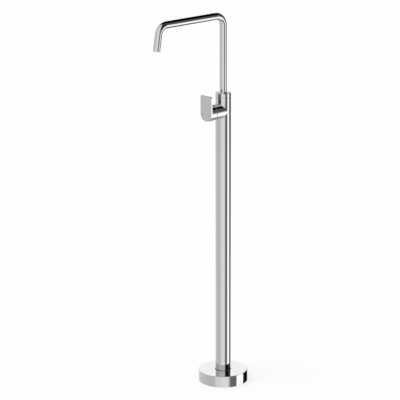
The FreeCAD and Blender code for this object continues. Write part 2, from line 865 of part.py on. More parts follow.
def make_cartridge_stem():
    """Square lever with a round tail and a ball that drives the moving disc."""
    half = "stem_width / 2"
    bar = block(
        "stem_bar",
        ("stem_width", "stem_width", f"{FACE} - handle_front - {PIVOT} + stem_tail"),
        (f"-{half}", f"-{half}", f"{PIVOT} - stem_tail"),
    )
    tip_centre = ("0", "0", f"{PIVOT} - ball_reach")
    tail = rod("stem_neck", "ball_neck / 2", "ball_reach - stem_tail + 1", tip_centre)
    tip = ball("stem_ball", "ball_diameter / 2", tip_centre)
    bearing = "pin_diameter / 2 + running_gap"
    hole = rod("stem_hole", bearing, "2 * stem_width", ("-stem_width", "0", PIVOT), X_AXIS)
    node(on_hub(cut("stem_drilled", joined("stem_blank", [bar, tail, tip]), [hole])), "cartridge_stem")


def mark_places():
    return (("hot", "-mark_side"), ("cold", "mark_side"))


def make_handle():
    """Round hub and flat upright blade in one piece, hollowed behind to clear the dome."""
    top = "blade_height"
    shoulder = "blade_height - blade_corner"
    outline = [
        (f"-{HUB_R}", "0", HUB_R, 1),
        ("0", f"-{HUB_R}", HUB_R, 1),
        (HUB_R, "0"),
        (HUB_R, shoulder, "blade_corner", 1),
        (f"{HUB_R} - blade_corner", top),
        (f"blade_corner - {HUB_R}", top, "blade_corner", 1),
        (f"-{HUB_R}", shoulder),
    ]
    hub_base = f"{PIVOT} + sqrt({CUP_R}^2 - {HUB_R}^2)"
    body = padded("handle_blank", outline, hub_base, f"{FACE} - ({hub_base})")
    relief = new_sketch(body, "blade_relief", "XZ_Plane")
    reach = f"{HUB_R} + 2 * blade_height"
    draw(
        relief,
        [
            (HUB_R, f"{hub_base} - 1"),
            (reach, f"{hub_base} - 1"),
            (reach, BLADE_BACK),
            (f"{HUB_R} + blade_fillet", BLADE_BACK, "blade_fillet", 1),
            (HUB_R, f"{BLADE_BACK} - blade_fillet"),
        ],
    )
    groove = body.newObject("PartDesign::Groove", "blade_relief_cut")
    groove.Profile = relief
    groove.ReferenceAxis = (relief, ["V_Axis"])
    groove.Angle = 180
    DOC.recompute()
    rounded_edges(body)
    rounded_top(body, top)
    across = "stem_width + 2 * fit_gap"
    corner = "-stem_width / 2 - fit_gap"
    tools = [
        ball("handle_cup", CUP_R, ("0", "0", PIVOT)),
        block(
            "handle_socket",
            (across, across, f"{FACE} - handle_front + fit_gap - {PIVOT}"),
            (corner, corner, PIVOT),
        ),
        rod(
            "handle_screw_hole",
            "handle_screw_diameter / 2 + fit_gap",
            HUB_R,
            ("0", "-stem_width / 2", SCREW_STATION),
            OUT_AXIS,
        ),
    ]
    for name, side in mark_places():
        seat = (side, "-mark_drop", f"{FACE} - mark_depth")
        tools.append(rod(f"{name}_mark_seat", "mark_diameter / 2 + fit_gap / 2", "mark_depth + 1", seat))
    node(on_hub(cut("handle_hollowed", body, tools)), "handle")


def rounded_edges(body):
    """Softens the edges of the front face and the top edge of the blade's back."""
    face_at = value(FACE)
    names = []
    for number, edge in enumerate(body.Shape.Edges, start=1):
        box = edge.BoundBox
        if abs(box.ZMin - face_at) < 1e-6 and abs(box.ZMax - face_at) < 1e-6:
            names.append(f"Edge{number}")
    base = body.Tip
    fillet = body.newObject("PartDesign::Fillet", "handle_edge_fillet")
    fillet.Base = (base, names)
    fillet.setExpression("Radius", bound("handle_edge"))


def rounded_top(body, top):
    """Rounds the blade's top over towards its front face."""
    low = f"{top} - blade_top_round"
    inner = f"{FACE} - blade_top_round"
    corner = new_sketch(body, "blade_top_corner", "YZ_Plane")
    draw(
        corner,
        [
            (low, FACE, "blade_top_round", -1),
            (top, inner),
            (f"{top} + 1", inner),
            (f"{top} + 1", f"{FACE} + 1"),
            (low, f"{FACE} + 1"),
        ],
    )
    pocket = body.newObject("PartDesign::Pocket", "blade_top_cut")
    pocket.Profile = corner
    pocket.Type = "ThroughAll"
    pocket.Midplane = True


def make_handle_fixings():
    start = "stem_width / 2 + screw_clearance"
    screw = rod(
        "handle_screw_round",
        "handle_screw_diameter / 2",
        "handle_screw_length",
        ("0", f"-({start})", SCREW_STATION),
        OUT_AXIS,
    )
    socket = hexagon(
        "handle_screw_socket",
        "handle_screw_diameter / 2",
        "handle_screw_diameter / 2 + 1",
        ("0", f"handle_screw_diameter / 2 - handle_screw_length - ({start})", SCREW_STATION),
        OUT_AXIS,
    )
    node(on_hub(cut("handle_screw_drilled", screw, [socket])), "handle_screw")
    plug_end = f"{HUB_R} - screw_plug_inset"
    plug = rod(
        "plug_round",
        "handle_screw_diameter / 2",
        "screw_plug_length",
        ("0", f"screw_plug_length - ({plug_end})", SCREW_STATION),
        OUT_AXIS,
    )
    node(on_hub(group("plug_set", [plug])), "screw_plug")
    for name, side in mark_places():
        seat = (side, "-mark_drop", f"{FACE} - mark_depth")
        mark = rod(f"{name}_mark_round", "mark_diameter / 2", "mark_depth", seat)
        node(on_hub(group(f"{name}_mark_set", [mark])), f"{name}_mark")


# ---- swivel joint ----


def make_outlet_nipple():
    base = f"{PORT_TOP} - outlet_depth + cover_clearance"
    top = f"{SOCKET_FLOOR} - fit_gap"
    solid = joined(
        "nipple_solid",
        [
            rod("nipple_round", "nipple_diameter / 2", f"({top}) - ({base})", ("0", "0", base)),
            hexagon("nipple_hexagon", "nipple_hex", "socket_stand", ("0", "0", PORT_TOP)),
        ],
    )
    bore = rod("nipple_way", "nipple_bore / 2", f"({top}) - ({base}) + 2", ("0", "0", f"{base} - 1"))
    node(cut("nipple_bored", solid, [bore]), "outlet_nipple")


def make_swivel_socket():
    outer = f"{COLUMN_BORE} - fit_gap"
    blank = turned(
        "socket_blank",
        [
            ("outlet_bore / 2", SOCKET_BASE),
            (outer, SOCKET_BASE),
            (outer, COLUMN_TOP),
            (SOCKET_NECK, COLUMN_TOP),
            (SOCKET_NECK, SOCKET_TOP),
            (SOCKET_BORE, SOCKET_TOP),
            (SOCKET_BORE, SOCKET_FLOOR),
            ("outlet_bore / 2", SOCKET_FLOOR),
        ],
    )
    stop = rod(
        "socket_stop_hole",
        "stop_screw_diameter / 2 + fit_gap",
        COLUMN_R,
        ("0", "spigot_bore / 2", STOP_STATION),
        Y_AXIS,
    )
    node(cut("socket_drilled", blank, [stop]), "swivel_socket")


def make_stop_screw():
    tip = f"{TURN_R} - stop_groove_depth + stop_tip_gap"
    length = f"{COLUMN_R} - stop_screw_inset - ({tip})"
    screw = rod("stop_round", "stop_screw_diameter / 2", length, ("0", tip, STOP_STATION), Y_AXIS)
    socket = hexagon(
        "stop_socket",
        "stop_screw_diameter / 2",
        "column_wall + 1",
        ("0", f"{COLUMN_R} - stop_screw_inset - column_wall", STOP_STATION),
        Y_AXIS,
    )
    node(cut("stop_drilled", screw, [socket]), "stop_screw")


def groove_points(centre, width, depth):
    low = f"{centre} - ({width}) / 2"
    high = f"{centre} + ({width}) / 2"
    inner = f"{TURN_R} - {depth}"
    outer = f"{TURN_R} + 1"
    return [(inner, low), (outer, low), (outer, high), (inner, high)]


def make_spout_spigot():
    """Turned foot of the spout: two ring grooves, and an arc groove that the stop screw runs in."""
    neck = f"{TUBE_BORE} - fit_gap"
    body = turned(
        "spout_foot",
        [
            ("spigot_bore / 2", TURN_BASE),
            (TURN_R, TURN_BASE),
            (TURN_R, TUBE_BASE),
            (neck, TUBE_BASE),
            (neck, f"{TUBE_BASE} + spigot_neck"),
            ("spigot_bore / 2", f"{TUBE_BASE} + spigot_neck"),
        ],
    )
    for index in range(2):
        centre = f"({TURN_BASE} + first_ring + {index} * ring_pitch)"
        sketch = new_sketch(body, f"ring_groove_sketch_{index + 1}", "XZ_Plane")
        draw(sketch, groove_points(centre, "ring_groove", "ring_groove_depth"))
        groove = body.newObject("PartDesign::Groove", f"ring_groove_{index + 1}")
        groove.Profile = sketch
        groove.ReferenceAxis = (sketch, ["V_Axis"])
        groove.Angle = 360
    sketch = new_sketch(body, "stop_groove_sketch", "YZ_Plane")
    draw(sketch, groove_points(STOP_STATION, "stop_groove", "stop_groove_depth"))
    groove = body.newObject("PartDesign::Groove", "stop_groove_cut")
    groove.Profile = sketch
    groove.ReferenceAxis = (sketch, ["V_Axis"])
    groove.Midplane = True
    groove.setExpression("Angle", bound("2 * (swivel_limit + stop_margin)"))
    node(body, "spout_spigot")


def make_spout_rings():
    rings = []
    for index in range(2):
        height = f"{TURN_BASE} + first_ring + {index} * ring_pitch"
        centre = f"{TURN_R} - ring_section / 2"
        rings.append(torus(f"spout_ring_{index + 1}", centre, "ring_section / 2", ("0", "0", height)))
    node(group("spout_ring_set", rings), "spout_o_rings")


def make_swivel_bush():
    outer = f"{SOCKET_BORE} - fit_gap"
    low = f"{TUBE_BASE} + bush_gap"
    high = f"{SOCKET_TOP} - fit_gap"
    node(ring("bush_ring", f"{TUBE_R} + running_gap", outer, low, high), "swivel_bush")


# ---- spout ----


def make_spout_tube():
    """One bent tube: riser, level arm and an outlet leg that leans away from the column."""
    body = DOC.addObject("PartDesign::Body", "spout_bent")
    path = draw(
        new_sketch(body, "spout_path", "YZ_Plane"),
        [
            ("0", TUBE_BASE),
            ("0", "spout_height - bend_radius", "bend_radius", 1),
            ("-bend_radius", "spout_height"),
            (f"{CORNER_CUT} - spout_reach", "spout_height", "bend_radius", 1),
            (
                f"-spout_reach - {CORNER_CUT} * sin(leg_tilt)",
                f"spout_height - {CORNER_CUT} * cos(leg_tilt)",
            ),
            OUTLET_END,
        ],
        closed=False,
    )
    section = new_sketch(body, "spout_section", "XY_Plane", TUBE_BASE)
    draw_circle(section, "0", "0", TUBE_R)
    draw_circle(section, "0", "0", TUBE_BORE)
    pipe = body.newObject("PartDesign::AdditivePipe", "spout_pipe")
    pipe.Profile = section
    pipe.Spine = (path, [f"Edge{number}" for number in range(1, 6)])
    DOC.recompute()
    round_mouth(body)
    node(body, "spout_tube")


def round_mouth(body):
    """Softens the two edges of the tube's open end."""
    end = FreeCAD.Vector(0, value(OUTLET_END[0]), value(OUTLET_END[1]))
    names = []
    for number, edge in enumerate(body.Shape.Edges, start=1):
        if edge.isClosed() and edge.CenterOfMass.distanceToPoint(end) < 1e-3:
            names.append(f"Edge{number}")
    base = body.Tip
    fillet = body.newObject("PartDesign::Fillet", "mouth_fillet")
    fillet.Base = (base, names)
    fillet.setExpression("Radius", bound("mouth_round"))


def make_aerator():
    outer = f"{TUBE_BORE} - fit_gap"
    inner = f"({TUBE_BORE} - aerator_wall)"
    mouth = "-aerator_inset"
    back = "-aerator_inset - aerator_length"
    housing = turned(
        "aerator_turned",
        [
            (inner, back),
            (outer, back),
            (outer, mouth),
            (f"{inner} - aerator_lip", mouth),
            (f"{inner} - aerator_lip", f"{mouth} - aerator_lip_length"),
            (inner, f"{mouth} - aerator_lip_length"),
        ],
    )
    node(on_outlet(housing), "aerator_housing")
    seal = ring("aerator_seal_ring", inner, outer, f"{back} - aerator_seal_length", back)
    node(on_outlet(seal), "aerator_seal")
    insert = drilled_insert(f"{inner} - fit_gap", f"{mouth} - aerator_lip_length")
    node(on_outlet(insert), "aerator_insert")


def drilled_insert(radius, front):
    """Flow straightener: a disc with a middle hole and two rings of holes round it."""
    low = f"{front} - insert_length"
    blank = disc("insert_blank", radius, low, front)
    holes = [("0", "0")]
    for ring_number in (1, 2):
        for angle in around(6 * ring_number):
            reach = f"{ring_number} * insert_ring"
            holes.append((f"{reach} * cos({angle})", f"{reach} * sin({angle})"))
    rods = [
        rod(f"insert_hole_{index}", "insert_hole / 2", "insert_length + 2", (x, y, f"{low} - 1"))
        for index, (x, y) in enumerate(holes)
    ]
    return cut("insert_drilled", blank, rods)


# ---- whole part ----


def check_document():
    for item in DOC.Objects:
        bad = {"Invalid", "Error"} & set(item.State)
        if bad:
            raise RuntimeError(f"{item.Name} ({item.Label}) is {sorted(bad)}: {item.getStatusString()}")
    for item in NODES:
        if item.Shape.isNull() or not item.Shape.isValid() or not item.Shape.Solids:
            raise RuntimeError(f"{item.Label} has no valid solid")


def main():
    fill_sheet()
    make_floor_plate()
    make_column_spigot()
    make_clamp_screws()
    make_base_cover()
    make_base_cover_seal()
    make_inlet_block()
    make_hoses()
    make_column_tube()
    make_valve_sleeve()
    make_swivel_collar()
    make_mixer_body()
    make_cartridge_housing()
    make_cartridge_seals()
    make_discs()
    make_cartridge_carrier()
    make_stem_pin()
    make_cartridge_cover()
    make_cartridge_nut()
    make_dome_ring()
    make_cartridge_stem()
    make_handle()
    make_handle_fixings()
    make_outlet_nipple()
    make_swivel_socket()
    make_stop_screw()
    make_spout_spigot()
    make_spout_rings()
    make_swivel_bush()
    make_spout_tube()
    make_aerator()
    DOC.recompute()
    check_document()
    os.makedirs("parts", exist_ok=True)
    for item in NODES:
        item.Shape.exportStep(f"parts/{item.Label}.step")
        box = item.Shape.BoundBox
        print(
            f"{item.Label:20s} {len(item.Shape.Solids)} solids {item.Shape.Volume:10.1f} mm3"
            f"  z {box.ZMin:8.2f} {box.ZMax:8.2f}"
        )


main()
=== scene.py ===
import json
import math

import bpy
from mathutils import Matrix, Vector

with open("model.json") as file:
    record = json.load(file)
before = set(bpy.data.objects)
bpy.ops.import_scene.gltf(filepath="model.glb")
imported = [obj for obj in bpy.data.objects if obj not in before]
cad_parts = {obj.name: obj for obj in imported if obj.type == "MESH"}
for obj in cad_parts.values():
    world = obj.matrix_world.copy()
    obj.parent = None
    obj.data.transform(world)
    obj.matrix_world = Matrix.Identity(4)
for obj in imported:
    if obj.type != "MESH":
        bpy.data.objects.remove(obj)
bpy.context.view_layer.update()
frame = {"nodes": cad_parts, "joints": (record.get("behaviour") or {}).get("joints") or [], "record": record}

# ---- camera: fitted to the photograph, in metres and degrees, with its lens in millimetres ----

VIEW_AZIMUTH = math.radians(46.166)
VIEW_PITCH = math.radians(15.311)
VIEW_ROLL = math.radians(-0.155)
# The distance is level, from the column's axis. The shift is to the camera's right.
VIEW_DISTANCE = 5.4554
VIEW_SHIFT = -0.0666
VIEW_HEIGHT = 2.0430
VIEW_REACH = 100
SENSOR_WIDTH = 36.0
LENS = 176.4

TOWARDS_CAMERA = Vector((math.sin(VIEW_AZIMUTH), -math.cos(VIEW_AZIMUTH), 0))
CAMERA_RIGHT = Vector((math.cos(VIEW_AZIMUTH), math.sin(VIEW_AZIMUTH), 0))
UP = Vector((0, 0, 1))


def make_camera():
    back = TOWARDS_CAMERA * math.cos(VIEW_PITCH) + UP * math.sin(VIEW_PITCH)
    level_up = back.cross(CAMERA_RIGHT)
    right = CAMERA_RIGHT * math.cos(VIEW_ROLL) + level_up * math.sin(VIEW_ROLL)
    above = level_up * math.cos(VIEW_ROLL) - CAMERA_RIGHT * math.sin(VIEW_ROLL)
    camera = bpy.data.objects.new("camera", bpy.data.cameras.new("camera"))
    bpy.context.scene.collection.objects.link(camera)
    turn = Matrix((right, above, back)).transposed().to_4x4()
    place = TOWARDS_CAMERA * VIEW_DISTANCE + CAMERA_RIGHT * VIEW_SHIFT + UP * VIEW_HEIGHT
    camera.matrix_world = Matrix.Translation(place) @ turn
    camera.data.sensor_width = SENSOR_WIDTH
    camera.data.lens = LENS
    camera.data.clip_end = VIEW_REACH
    bpy.context.scene.camera = camera


# ---- node trees ----


def empty_tree(owner):
    owner.use_nodes = True
    owner.node_tree.nodes.clear()
    return owner.node_tree


def add(tree, kind, inputs=None, **settings):
    """A shader node. An input is a value, or another node's socket to link from."""
    made = tree.nodes.new("ShaderNode" + kind)
    for key, setting in settings.items():
        setattr(made, key, setting)
    for key, given in (inputs or {}).items():
        if isinstance(given, bpy.types.NodeSocket):
            tree.links.new(given, made.inputs[key])
        else:
            made.inputs[key].default_value = given
    return made


def calc(tree, operation, *values):
    """A number worked out from numbers."""
    return add(tree, "Math", dict(enumerate(values)), operation=operation).outputs[0]


def measured(tree, operation, *vectors):
    """A number worked out from vectors."""
    return add(tree, "VectorMath", dict(enumerate(vectors)), operation=operation).outputs["Value"]


def ramp(tree, value, span, onto=(0.0, 1.0)):
    """A value carried smoothly from one span onto another, and held at both ends."""
    ends = {"From Min": span[0], "From Max": span[1], "To Min": onto[0], "To Max": onto[1]}
    carried = add(tree, "MapRange", {"Value": value, **ends}, interpolation_type="SMOOTHSTEP", clamp=True)
    return carried.outputs[0]


def mixed(tree, share, first, second):
    """A number between two numbers: the first where the share is 0, the second where it is 1."""
    return add(tree, "Mix", {"Factor": share, 2: first, 3: second}, data_type="FLOAT").outputs[0]


def blend(tree, share, first, second):
    """A colour between two colours: the first where the share is 0, the second where it is 1."""
    return add(tree, "Mix", {"Factor": share, 6: first, 7: second}, data_type="RGBA").outputs[2]


def place_of(tree, stretch=(1, 1, 1)):
    """A place on the object, in metres of its own space, with each axis scaled."""
    spot = add(tree, "TexCoord").outputs["Object"]
    return add(tree, "Mapping", {"Vector": spot, "Scale": stretch}).outputs[0]


def axes_of(tree, vector):
    """The numbers X, Y and Z of a vector, by name."""
    return add(tree, "SeparateXYZ", {0: vector}).outputs


def grey(level, warm=0.0):
    """A grey, with red above it and blue below it by the share that warm says."""
    return (level * (1 + warm), level, level * (1 - warm), 1)


WHITE = grey(1.0)

# ---- studio: white backdrop, soft light, and the cards that polished metal mirrors ----

DEGREE = math.pi / 180
AMBIENT_LEVEL = 0.75
SURROUND_LEVEL = 0.77
# Cards round the object, as polished metal sees them. A later card covers an earlier one.
# Each edge is an angle and how soft it is, in degrees. Left and right are azimuths, measured from
# the camera's side and growing to its right. Low and high are elevations above the horizon. Where
# a card has no edge, it goes on. Lean moves the left edge by so much for each degree of elevation.
CARDS = {
    "left_rear": dict(level=0.87, right=(-95, 35)),
    "front": dict(level=1.05, left=(-51, 5), high=(66, 14), lean=-0.65),
    "front_bright": dict(level=1.15, left=(-12, 12), low=(-62, 10), high=(30, 25)),
    "dark_right": dict(level=0.21, left=(29.5, 9)),
    "upper_front_dark": dict(level=0.18, left=(26, 16), low=(26, 12)),
    "upper_dark": dict(level=0.13, left=(50, 14), low=(10, 7)),
    "upper_black": dict(level=0.01, left=(38, 7), right=(84, 3), low=(12, 5), high=(44, 6)),
    "overhead_dark": dict(level=0.03, left=(38, 8), low=(56, 25)),
    "overhead_black": dict(level=0.0, left=(97, 7), low=(34, 5)),
    "overhead_black_left": dict(level=0.0, right=(-134, 9), low=(33, 7)),
    "rear_black": dict(level=0.0, left=(125, 6), right=(180, 2), low=(-52, 6)),
    "low_grey": dict(level=0.86, left=(62, 12), right=(122, 14), high=(-42, 4)),
    "soft_box": dict(level=1.72, left=(67.5, 2.5), right=(114, 4), low=(-42, 4), high=(-6.5, 8)),
    "soft_box_end": dict(
        level=0.02, left=(93, 4), right=(130, 3), low=(-46, 4), high=(-4, 8), lean=-0.9
    ),
}


def card_share(tree, azimuth, elevation, card):
    """How much of a card lies in one direction: 1 inside, 0 outside, and soft at its edges."""
    leaned = calc(tree, "MULTIPLY_ADD", elevation, -card.get("lean", 0), azimuth)
    share = 1.0
    for side, angle, onto in (
        ("left", leaned, (0.0, 1.0)),
        ("right", azimuth, (1.0, 0.0)),
        ("low", elevation, (0.0, 1.0)),
        ("high", elevation, (1.0, 0.0)),
    ):
        if side in card:
            edge, soft = card[side]
            step = ramp(tree, angle, ((edge - soft) * DEGREE, (edge + soft) * DEGREE), onto)
            share = calc(tree, "MULTIPLY", share, step)
    return share


def studio_level(tree):
    """How bright the studio is in the direction that a mirrored ray leaves in."""
    ray = add(tree, "TexCoord").outputs["Generated"]
    across = measured(tree, "DOT_PRODUCT", ray, CAMERA_RIGHT)
    ahead = measured(tree, "DOT_PRODUCT", ray, TOWARDS_CAMERA)
    azimuth = calc(tree, "ARCTAN2", across, ahead)
    elevation = calc(tree, "ARCSINE", axes_of(tree, ray)["Z"])
    level = SURROUND_LEVEL
    for card in CARDS.values():
        level = mixed(tree, card_share(tree, azimuth, elevation, card), level, card["level"])
    return level


def make_world():
    """White to the camera, the studio's cards to polished metal, and plain soft light to the rest."""
    world = bpy.data.worlds.new("studio")
    bpy.context.scene.world = world
    tree = empty_tree(world)
    path = add(tree, "LightPath").outputs
    mirrored = calc(tree, "MAXIMUM", path["Is Glossy Ray"], path["Is Transmission Ray"])
    level = mixed(tree, mirrored, AMBIENT_LEVEL, studio_level(tree))
    level = mixed(tree, path["Is Camera Ray"], level, 1.0)
    light = add(tree, "Background", {"Color": WHITE, "Strength": level})
    add(tree, "OutputWorld", {"Surface": light.outputs[0]})


def flat_object(name, corners):
    """An object of one face with four corners, and the empty tree of its material."""
    mesh = bpy.data.meshes.new(name)
    mesh.from_pydata(corners, [], [(0, 1, 2, 3)])
    mesh.materials.append(bpy.data.materials.new(name))
    made = bpy.data.objects.new(name, mesh)
    bpy.context.scene.collection.objects.link(made)
    return made, empty_tree(mesh.materials[0])


# One card hangs behind, where level surfaces low down catch it and the spout does not. It fades
# out below its top.
REAR_CARD_DISTANCE = 3.0
REAR_CARD_WIDTH = 1.6
REAR_CARD_FOOT = 0.8
REAR_CARD_TOP = 1.6
REAR_CARD_FADE = 0.16
REAR_CARD_LEVEL = 1.39


def make_rear_card():
    """A glowing card behind the object, which only polished surfaces see."""
    middle = -TOWARDS_CAMERA * REAR_CARD_DISTANCE
    side = CAMERA_RIGHT * REAR_CARD_WIDTH / 2
    foot = UP * REAR_CARD_FOOT
    top = UP * REAR_CARD_TOP
    corners = [middle - side + foot, middle + side + foot, middle + side + top, middle - side + top]
    card, tree = flat_object("rear_card", corners)
    height = axes_of(tree, place_of(tree))["Z"]
    fading = (REAR_CARD_TOP - REAR_CARD_FADE, REAR_CARD_TOP)
    strength = ramp(tree, height, fading, onto=(REAR_CARD_LEVEL, 0.0))
    glow = add(tree, "Emission", {"Color": WHITE, "Strength": strength})
    add(tree, "OutputMaterial", {"Surface": glow.outputs[0]})
    card.visible_camera = False
    card.visible_diffuse = False
    card.visible_shadow = False
    card.visible_volume_scatter = False


# A broad soft key from high on the camera's left. KEY_SPREAD is how wide its disc looks.
KEY_POWER = 1.06
KEY_SPREAD = math.radians(35)
KEY_TILT = math.radians(28)
KEY_TURN = math.radians(-20)


def make_key_light():
    key = bpy.data.lights.new("key", "SUN")
    key.energy = KEY_POWER
    key.angle = KEY_SPREAD
    lamp = bpy.data.objects.new("key", key)
    bpy.context.scene.collection.objects.link(lamp)
    lamp.rotation_euler = (KEY_TILT, 0, KEY_TURN)
    lamp.visible_glossy = False


# The floor lies a hair below the object's underside. FLOOR_GLOW is the share of plain white in what
# the camera sees of it; the rest is lit, and takes the shadow.
FLOOR_HALF = 30.0
FLOOR_DROP = 0.0001
FLOOR_GLOW = 0.72
FLOOR_COLOUR = grey(0.93)


def make_floor():
    """Plain white floor that keeps the object's soft shadow, and is clear when seen from below."""
    sides = ((-1, -1), (1, -1), (1, 1), (-1, 1))
    corners = [(across * FLOOR_HALF, along * FLOOR_HALF, -FLOOR_DROP) for across, along in sides]
    floor, tree = flat_object("floor", corners)
    diffuse = add(tree, "BsdfDiffuse", {"Color": FLOOR_COLOUR})
    glow = add(tree, "Emission", {"Color": WHITE, "Strength": 1.0})
    share = calc(tree, "MULTIPLY", add(tree, "LightPath").outputs["Is Camera Ray"], FLOOR_GLOW)
    upper = add(tree, "MixShader", {0: share, 1: diffuse.outputs[0], 2: glow.outputs[0]})
    below = add(tree, "NewGeometry").outputs["Backfacing"]
    clear = add(tree, "BsdfTransparent")
    both = add(tree, "MixShader", {0: below, 1: upper.outputs[0], 2: clear.outputs[0]})
    add(tree, "OutputMaterial", {"Surface": both.outputs[0]})
    floor.visible_glossy = False


# ---- materials: sizes, heights and places are in metres ----


def grain(tree, size, detail=3.0, roughness=0.5, stretch=(1, 1, 1)):
    """Soft random variation about size across, and longer on an axis whose stretch is under 1."""
    looks = {"Scale": 1 / size, "Detail": detail, "Roughness": roughness}
    return add(tree, "TexNoise", {"Vector": place_of(tree, stretch), **looks}).outputs["Fac"]


def cells(tree, size, output="Distance"):
    """Random cells about size across: the distance from their middles, or a colour for each."""
    return add(tree, "TexVoronoi", {"Vector": place_of(tree), "Scale": 1 / size}).outputs[output]


def bumped(tree, pattern, height, under=None):
    """The normal of a pattern that stands height high where it is 1, on another normal if given."""
    inputs = {"Height": pattern, "Distance": height}
    if under is not None:
        inputs["Normal"] = under
    return add(tree, "Bump", inputs).outputs[0]


def stained(tree, tint, share, stain, strength):
    """A tint with a stain over a share of it, up to a strength."""
    return blend(tree, calc(tree, "MULTIPLY", share, strength), tint, stain)


def roughened(tree, roughness, share, more):
    """A roughness with more added where the share is 1."""
    return calc(tree, "MULTIPLY_ADD", share, more, roughness)


def surface(name, **sockets):
    """A material, its tree and its shader, with the sockets that are the same all over."""
    material = bpy.data.materials.new(name)
    tree = empty_tree(material)
    shader = add(tree, "BsdfPrincipled")
    for key, given in sockets.items():
        shader.inputs[key.replace("_", " ")].default_value = given
    add(tree, "OutputMaterial", {"Surface": shader.outputs[0]})
    return material, tree, shader


def dress(tree, shader, tint, roughness, normal):
    """Links what varies over a surface to its shader."""
    tree.links.new(tint, shader.inputs["Base Color"])
    tree.links.new(roughness, shader.inputs["Roughness"])
    tree.links.new(normal, shader.inputs["Normal"])


CHROME_HAZY = grey(0.572)
CHROME_CLEAR = grey(0.59)
CHROME_SPOTTED = grey(0.52)
# The dome and the hollow of the hub are round about the handle's pivot, and the satin and its
# painted shade reach from just inside the one to just outside the other.
HANDLE_PIVOT = next(joint["pos_m"] for joint in frame["joints"] if joint["name"] == "handle_tilt")
SATIN_AND_SHADE_INNER = 0.02604
SATIN_AND_SHADE_OUTER = 0.02722
# Painted shade: those faces are tinted dark, standing in for the shade inside the gap round the hub.
HUB_GAP_PAINTED_SHADE = grey(0.2)
SATIN_ROUGHENING = 0.45
# The collar's seam is at the column's top. Painted shade darkens only what is inside COLUMN_REACH of its
# axis.
COLLAR_SEAM = 0.8539
SEAM_REACH = 0.0003
COLUMN_REACH = 0.0225
# Painted shade: a dark band in the seam between the column and its collar.
SEAM_PAINTED_SHADE = grey(0.09)
SEAM_SHADE_STRENGTH = 0.5


def satin_and_shade_share(tree):
    """1 on the satin faces with painted shade that the handle rides on, hidden but for the seam round its
    hub.
    """
    away = measured(tree, "DISTANCE", place_of(tree), HANDLE_PIVOT)
    outside_inner = calc(tree, "GREATER_THAN", away, SATIN_AND_SHADE_INNER)
    inside_outer = calc(tree, "LESS_THAN", away, SATIN_AND_SHADE_OUTER)
    before_pivot = calc(tree, "LESS_THAN", axes_of(tree, place_of(tree))["Y"], HANDLE_PIVOT[1])
    return calc(tree, "MULTIPLY", calc(tree, "MULTIPLY", outside_inner, inside_outer), before_pivot)


def seam_share(tree):
    """1 at the height of the seam between the column and its collar, where painted shade goes."""
    height = axes_of(tree, place_of(tree))["Z"]
    away = calc(tree, "ABSOLUTE", calc(tree, "SUBTRACT", height, COLLAR_SEAM))
    shaded = ramp(tree, away, (0.0, SEAM_REACH), onto=(1.0, 0.0))
    aside = measured(tree, "LENGTH", place_of(tree, stretch=(1, 1, 0)))
    return calc(tree, "MULTIPLY", shaded, calc(tree, "LESS_THAN", aside, COLUMN_REACH))


def chrome():
    """Polished plating: nearly a mirror, with faint ripple, a film of handling and dried drops.

    Painted shade darkens the collar's seam. The round faces that the handle rides on are satin,
    and are tinted dark as painted shade where the gap round the hub shows them.
    """
    material, tree, shader = surface("chrome", Metallic=1.0)
    haze = ramp(tree, grain(tree, size=0.11, detail=4.0), (0.3, 0.7))
    smears = grain(tree, size=0.035, detail=5.0, roughness=0.62, stretch=(1, 1, 0.35))
    film = ramp(tree, smears, (0.45, 0.8), onto=(0.016, 0.042))
    drops = ramp(tree, cells(tree, size=0.004), (0.16, 0.24), onto=(1.0, 0.0))
    wetted = ramp(tree, grain(tree, size=0.05, detail=2.0), (0.6, 0.66))
    spots = calc(tree, "MULTIPLY", drops, wetted)
    satin = satin_and_shade_share(tree)
    tint = blend(tree, haze, CHROME_HAZY, CHROME_CLEAR)
    tint = stained(tree, tint, spots, CHROME_SPOTTED, strength=0.5)
    # Painted shade: the chrome is darkened in a narrow band at the collar's seam.
    tint = stained(tree, tint, seam_share(tree), SEAM_PAINTED_SHADE, strength=SEAM_SHADE_STRENGTH)
    # Painted shade: the satin faces seen in the gap round the hub are tinted dark, and also roughened.
    tint = blend(tree, satin, tint, HUB_GAP_PAINTED_SHADE)
    rough = roughened(tree, film, spots, more=0.05)
    rough = roughened(tree, rough, satin, more=SATIN_ROUGHENING)
    ripple = bumped(tree, grain(tree, size=0.016, detail=1.0), height=1.1e-6)
    wiping = grain(tree, size=0.0004, detail=2.0, stretch=(1, 1, 0.15))
    dress(tree, shader, tint, rough, bumped(tree, wiping, height=4e-9, under=ripple))
    return material


ZINC_BLUE = (0.55, 0.57, 0.58, 1)
ZINC_PALE = (0.66, 0.67, 0.66, 1)
ZINC_BLOOM = grey(0.74)


def steel_plate():
    """Zinc plated steel: soft spangle, dull sheen and a little white bloom."""
    material, tree, shader = surface("zinc_plated_steel", Metallic=1.0)
    spangle = add(tree, "SeparateColor", {"Color": cells(tree, size=0.006, output="Color")}).outputs[0]
    bloom = ramp(tree, grain(tree, size=0.02, detail=6.0, roughness=0.65), (0.5, 0.72))
    tint = blend(tree, spangle, ZINC_BLUE, ZINC_PALE)
    tint = stained(tree, tint, bloom, ZINC_BLOOM, strength=0.45)
    rough = ramp(tree, calc(tree, "ADD", spangle, bloom), (0.0, 2.0), onto=(0.26, 0.55))
    skin = grain(tree, size=0.0007, detail=4.0, roughness=0.6)
    dress(tree, shader, tint, rough, bumped(tree, skin, height=4e-6))
    return material


STAINLESS_DARK = grey(0.52, warm=0.02)
STAINLESS_PALE = grey(0.62, warm=0.015)


